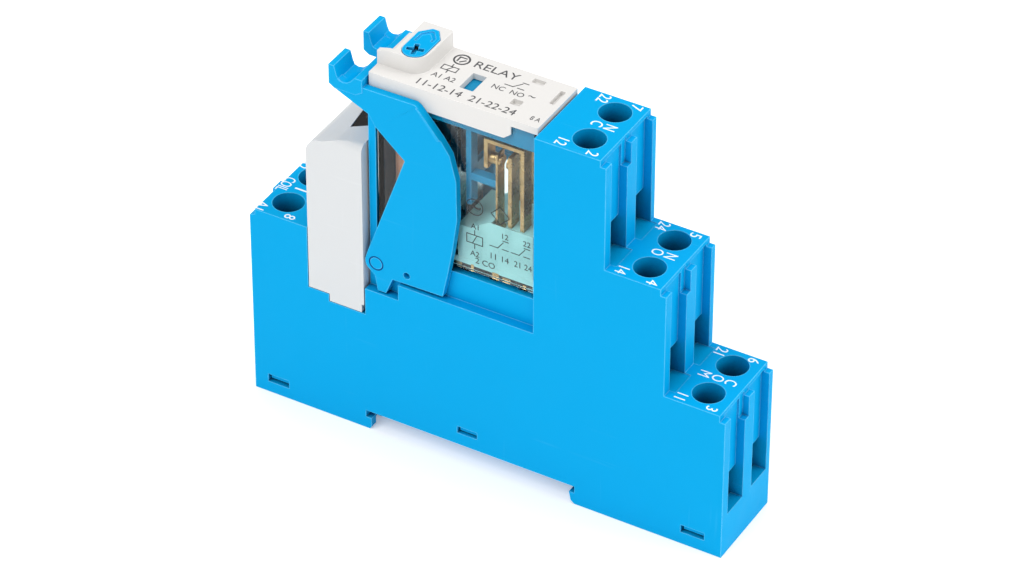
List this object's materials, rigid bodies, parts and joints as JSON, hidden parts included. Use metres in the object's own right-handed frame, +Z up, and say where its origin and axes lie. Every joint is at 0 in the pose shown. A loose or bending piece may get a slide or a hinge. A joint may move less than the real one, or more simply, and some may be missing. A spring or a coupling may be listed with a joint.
{
  "type": "plug-in relay on a screw-terminal rail socket",
  "caption": "Slim plug-in relay with clear case and test button, in a stepped blue rail socket with screw terminals, release lever and grey indicator module.",
  "frame": {"origin": "centre of the footprint at the level of the feet", "axes": "+X along the socket towards the stepped contact terminals, +Y along the rail towards the back, +Z up away from the rail"},
  "size_m": [0.0786, 0.0144, 0.0661],
  "materials": {
    "socket_blue": "moulded, fine satin",
    "cover_blue": "moulded, fine satin",
    "lever_blue": "moulded, fine satin",
    "cap_white": "moulded, satin, off-white",
    "module_grey": "moulded, satin, pale grey",
    "lens_smoke": "smoked clear plastic",
    "case_clear": "clear moulded plastic",
    "base_mint": "moulded, satin, pale mint",
    "bobbin_black": "moulded, black",
    "card_teal": "moulded, teal",
    "winding_copper": "enamelled copper wire",
    "contact_bronze": "rolled bronze strip",
    "pole_steel": "rolled steel",
    "screw_steel": "plated steel",
    "board_green": "lacquered board",
    "lamp_green": "tinted lamp body",
    "diode_black": "moulded component bodies"
  },
  "bodies": {
    "socket": {"socket_housing": "socket_blue", "base_cover": "cover_blue", "contact_bar_nc_front": "contact_bronze", "contact_bar_no_front": "contact_bronze", "contact_bar_com_front": "contact_bronze", "contact_bar_coil_front": "contact_bronze", "contact_bar_nc_back": "contact_bronze", "contact_bar_no_back": "contact_bronze", "contact_bar_com_back": "contact_bronze", "contact_bar_coil_back": "contact_bronze"},
    "latch": {"rail_latch": "cover_blue"},
    "lever": {"release_lever": "lever_blue"},
    "screw_nc_front": {"terminal_screw_nc_front": "screw_steel"},
    "clamp_nc_front": {"clamp_cage_nc_front": "screw_steel"},
    "screw_no_front": {"terminal_screw_no_front": "screw_steel"},
    "clamp_no_front": {"clamp_cage_no_front": "screw_steel"},
    "screw_com_front": {"terminal_screw_com_front": "screw_steel"},
    "clamp_com_front": {"clamp_cage_com_front": "screw_steel"},
    "screw_coil_front": {"terminal_screw_coil_front": "screw_steel"},
    "clamp_coil_front": {"clamp_cage_coil_front": "screw_steel"},
    "screw_nc_back": {"terminal_screw_nc_back": "screw_steel"},
    "clamp_nc_back": {"clamp_cage_nc_back": "screw_steel"},
    "screw_no_back": {"terminal_screw_no_back": "screw_steel"},
    "clamp_no_back": {"clamp_cage_no_back": "screw_steel"},
    "screw_com_back": {"terminal_screw_com_back": "screw_steel"},
    "clamp_com_back": {"clamp_cage_com_back": "screw_steel"},
    "screw_coil_back": {"terminal_screw_coil_back": "screw_steel"},
    "clamp_coil_back": {"clamp_cage_coil_back": "screw_steel"},
    "module": {"module_shell": "module_grey", "module_lens": "lens_smoke", "module_board": "board_green", "module_lamp": "lamp_green", "module_diode": "diode_black", "module_blades": "contact_bronze"},
    "relay": {"relay_base": "base_mint", "relay_case": "case_clear", "relay_cap": "cap_white", "coil_bobbin": "bobbin_black", "coil_winding": "winding_copper", "coil_core": "pole_steel", "coil_yoke": "pole_steel", "coil_pins": "contact_bronze", "relay_contact_nc_front": "contact_bronze", "relay_contact_no_front": "contact_bronze", "relay_contact_com_front": "contact_bronze", "relay_contact_nc_back": "contact_bronze", "relay_contact_no_back": "contact_bronze", "relay_contact_com_back": "contact_bronze"},
    "button": {"test_button": "lever_blue"},
    "armature": {"armature": "pole_steel"},
    "card": {"actuator_card": "card_teal"},
    "leaf_front": {"com_leaf_front": "contact_bronze"},
    "leaf_back": {"com_leaf_back": "contact_bronze"}
  },
  "joints": [
    {"name": "rail_latch_slide", "type": "slide", "parent": "socket", "child": "latch", "axis": [-1, 0, 0], "range_m": [0, 0.0024], "stiffness_N_per_m": 1500},
    {"name": "release_lever_hinge", "type": "hinge", "parent": "socket", "child": "lever", "pos_m": [-0.018, 0, 0.03085], "axis": [0, 1, 0], "range_deg": [-19, 0]},
    {"name": "screw_nc_front_turn", "type": "hinge", "parent": "socket", "child": "screw_nc_front", "pos_m": [0.01485, -0.00335, 0.0546], "axis": [0, 0, -1], "range_deg": [0, 2161]},
    {"name": "clamp_nc_front_lift", "type": "slide", "parent": "socket", "child": "clamp_nc_front", "axis": [0, 0, 1], "range_m": [0, 0.003]},
    {"name": "screw_no_front_turn", "type": "hinge", "parent": "socket", "child": "screw_no_front", "pos_m": [0.0247, -0.00335, 0.0361], "axis": [0, 0, -1], "range_deg": [0, 2161]},
    {"name": "clamp_no_front_lift", "type": "slide", "parent": "socket", "child": "clamp_no_front", "axis": [0, 0, 1], "range_m": [0, 0.003]},
    {"name": "screw_com_front_turn", "type": "hinge", "parent": "socket", "child": "screw_com_front", "pos_m": [0.03455, -0.00335, 0.0176], "axis": [0, 0, -1], "range_deg": [0, 2161]},
    {"name": "clamp_com_front_lift", "type": "slide", "parent": "socket", "child": "clamp_com_front", "axis": [0, 0, 1], "range_m": [0, 0.003]},
    {"name": "screw_coil_front_turn", "type": "hinge", "parent": "socket", "child": "screw_coil_front", "pos_m": [-0.035, -0.00335, 0.0252], "axis": [0, 0, -1], "range_deg": [0, 2161]},
    {"name": "clamp_coil_front_lift", "type": "slide", "parent": "socket", "child": "clamp_coil_front", "axis": [0, 0, 1], "range_m": [0, 0.003]},
    {"name": "screw_nc_back_turn", "type": "hinge", "parent": "socket", "child": "screw_nc_back", "pos_m": [0.01485, 0.00385, 0.0546], "axis": [0, 0, -1], "range_deg": [0, 2161]},
    {"name": "clamp_nc_back_lift", "type": "slide", "parent": "socket", "child": "clamp_nc_back", "axis": [0, 0, 1], "range_m": [0, 0.003]},
    {"name": "screw_no_back_turn", "type": "hinge", "parent": "socket", "child": "screw_no_back", "pos_m": [0.0247, 0.00385, 0.0361], "axis": [0, 0, -1], "range_deg": [0, 2161]},
    {"name": "clamp_no_back_lift", "type": "slide", "parent": "socket", "child": "clamp_no_back", "axis": [0, 0, 1], "range_m": [0, 0.003]},
    {"name": "screw_com_back_turn", "type": "hinge", "parent": "socket", "child": "screw_com_back", "pos_m": [0.03455, 0.00385, 0.0176], "axis": [0, 0, -1], "range_deg": [0, 2161]},
    {"name": "clamp_com_back_lift", "type": "slide", "parent": "socket", "child": "clamp_com_back", "axis": [0, 0, 1], "range_m": [0, 0.003]},
    {"name": "screw_coil_back_turn", "type": "hinge", "parent": "socket", "child": "screw_coil_back", "pos_m": [-0.035, 0.00385, 0.0252], "axis": [0, 0, -1], "range_deg": [0, 2161]},
    {"name": "clamp_coil_back_lift", "type": "slide", "parent": "socket", "child": "clamp_coil_back", "axis": [0, 0, 1], "range_m": [0, 0.003]},
    {"name": "module_slide", "type": "slide", "parent": "socket", "child": "module", "axis": [0, 0, 1], "range_m": [0, 0.0062]},
    {"name": "relay_slide", "type": "slide", "parent": "socket", "child": "relay", "axis": [0, 0, 1], "range_m": [0, 0.04]},
    {"name": "test_button_press", "type": "slide", "parent": "relay", "child": "button", "axis": [0, 0, -1], "range_m": [0, 0.0009], "stiffness_N_per_m": 300},
    {"name": "armature_rock", "type": "hinge", "parent": "relay", "child": "armature", "pos_m": [-0.006, 0, 0.0575], "axis": [0, -1, 0], "range_deg": [0, 4.65], "stiffness_Nm_per_rad": 0.02},
    {"name": "card_slide", "type": "slide", "parent": "relay", "child": "card", "axis": [1, 0, 0], "range_m": [0, 0.00061]},
    {"name": "leaf_front_bend", "type": "hinge", "parent": "relay", "child": "leaf_front", "pos_m": [0.0007, -0.00335, 0.042], "axis": [0, 1, 0], "range_deg": [0, 4.32]},
    {"name": "leaf_back_bend", "type": "hinge", "parent": "relay", "child": "leaf_back", "pos_m": [0.0007, 0.00335, 0.042], "axis": [0, 1, 0], "range_deg": [0, 4.32]}
  ],
  "couplings": [
    {"joint": "screw_nc_front_turn", "follows": "clamp_nc_front_lift", "rad_per_m": 12566},
    {"joint": "screw_no_front_turn", "follows": "clamp_no_front_lift", "rad_per_m": 12566},
    {"joint": "screw_com_front_turn", "follows": "clamp_com_front_lift", "rad_per_m": 12566},
    {"joint": "screw_coil_front_turn", "follows": "clamp_coil_front_lift", "rad_per_m": 12566},
    {"joint": "screw_nc_back_turn", "follows": "clamp_nc_back_lift", "rad_per_m": 12566},
    {"joint": "screw_no_back_turn", "follows": "clamp_no_back_lift", "rad_per_m": 12566},
    {"joint": "screw_com_back_turn", "follows": "clamp_com_back_lift", "rad_per_m": 12566},
    {"joint": "screw_coil_back_turn", "follows": "clamp_coil_back_lift", "rad_per_m": 12566},
    {"joint": "card_slide", "follows": "armature_rock", "m_per_rad": 0.00739},
    {"joint": "leaf_front_bend", "follows": "armature_rock", "ratio": 0.925},
    {"joint": "leaf_back_bend", "follows": "armature_rock", "ratio": 0.925}
  ]
}
